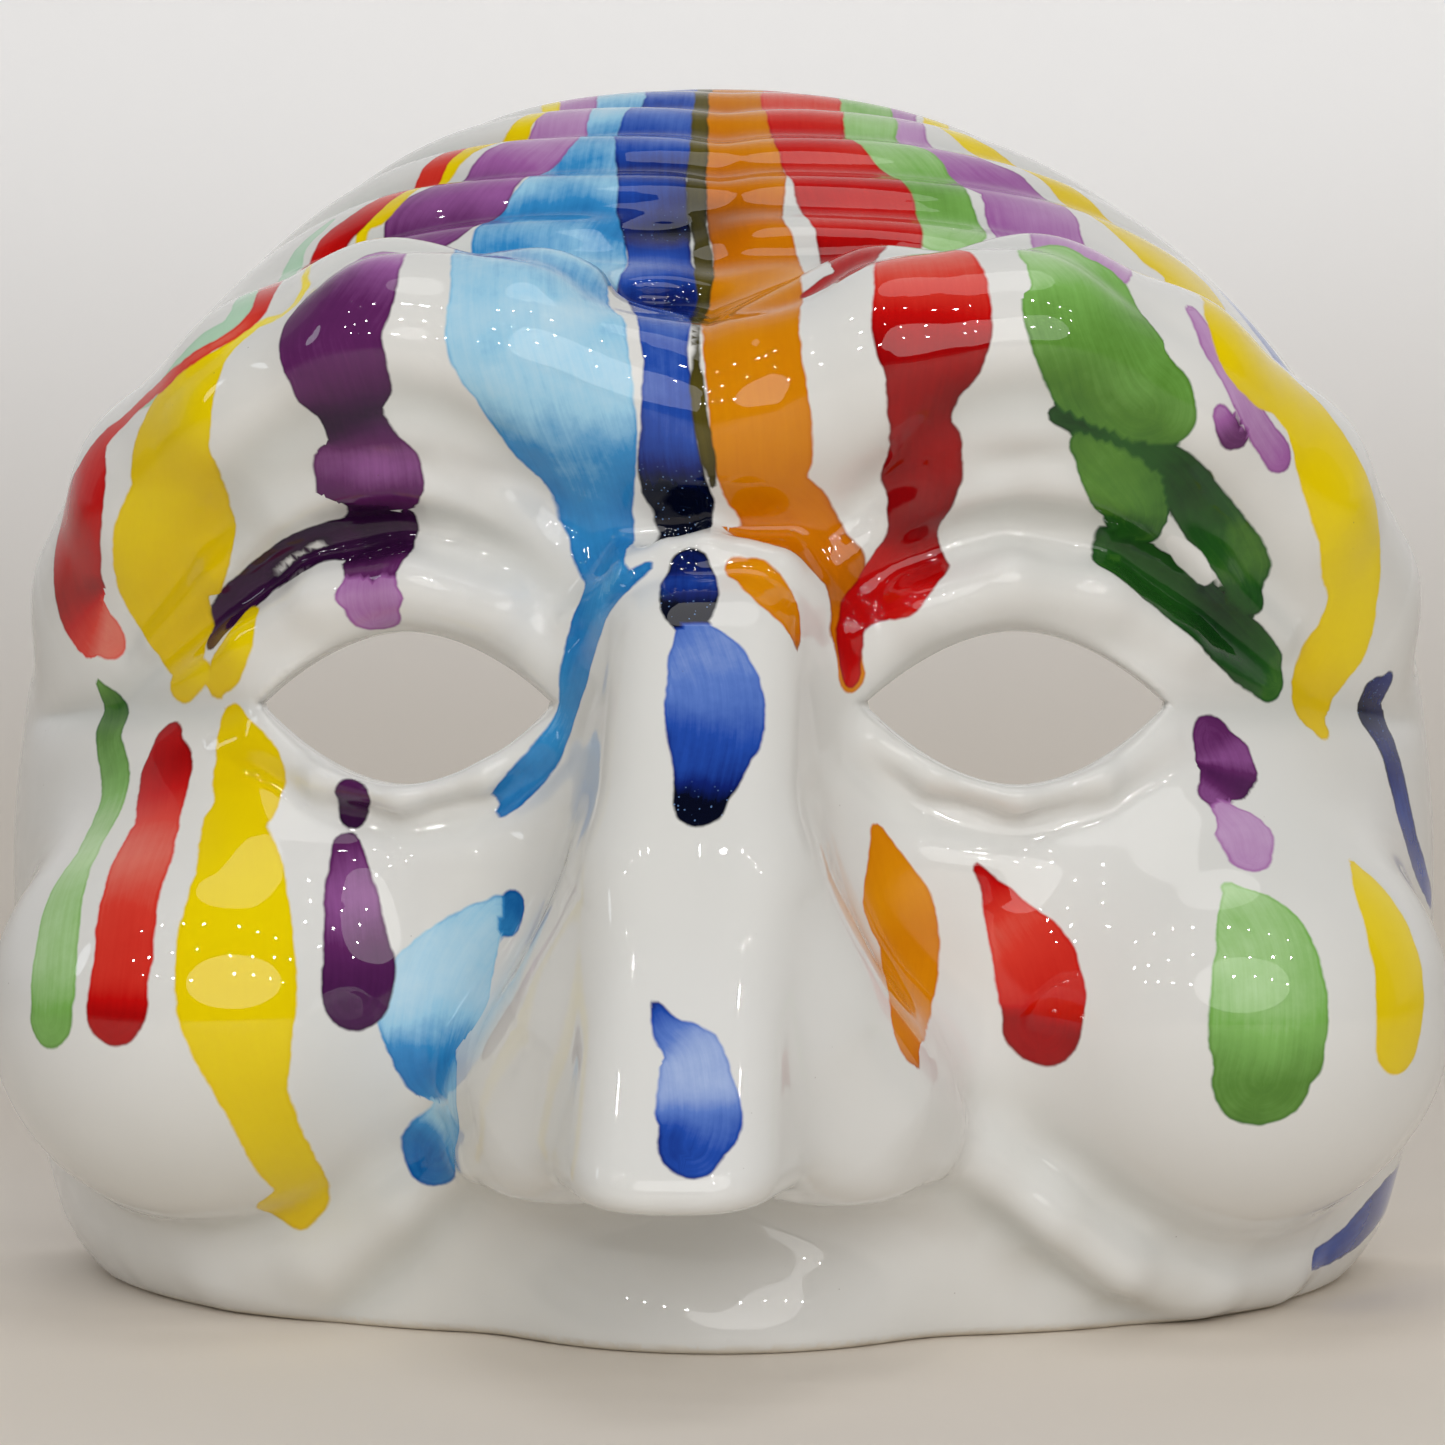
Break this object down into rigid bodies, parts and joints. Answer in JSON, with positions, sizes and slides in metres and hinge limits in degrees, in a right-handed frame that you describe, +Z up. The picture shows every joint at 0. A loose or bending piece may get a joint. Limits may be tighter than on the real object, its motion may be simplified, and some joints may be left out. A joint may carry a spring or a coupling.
{
  "type": "ceramic half mask",
  "caption": "Hollow glazed half mask with furrowed brow, broad nose, round cheeks and almond eye openings, with a swinging wire bail inside the crown for hanging on a wall.",
  "frame": {"origin": "centre of the bounding box in plan, on the plane of the ground foot that the mask stands on", "axes": "+Z up, the face looks along -Y, +Y is the flat back rim that meets a wall, +X is to the right of someone who looks at the face"},
  "size_m": [0.177, 0.109, 0.1449],
  "materials": {
    "painted_glaze": "gloss clear glaze over white clay, brushed underglaze colours",
    "clear_glaze": "gloss clear glaze over white clay",
    "steel_wire": "drawn galvanised wire, satin"
  },
  "bodies": {
    "mask": {"mask_shell": "painted_glaze", "hanging_lug_left": "clear_glaze", "hanging_lug_right": "clear_glaze"},
    "bail": {"hanging_bail": "steel_wire"}
  },
  "joints": [
    {"name": "bail_swing", "type": "hinge", "parent": "mask", "child": "bail", "pos_m": [0, 0.0445, 0.1175], "axis": [-1, 0, 0], "range_deg": [0, 170]}
  ]
}
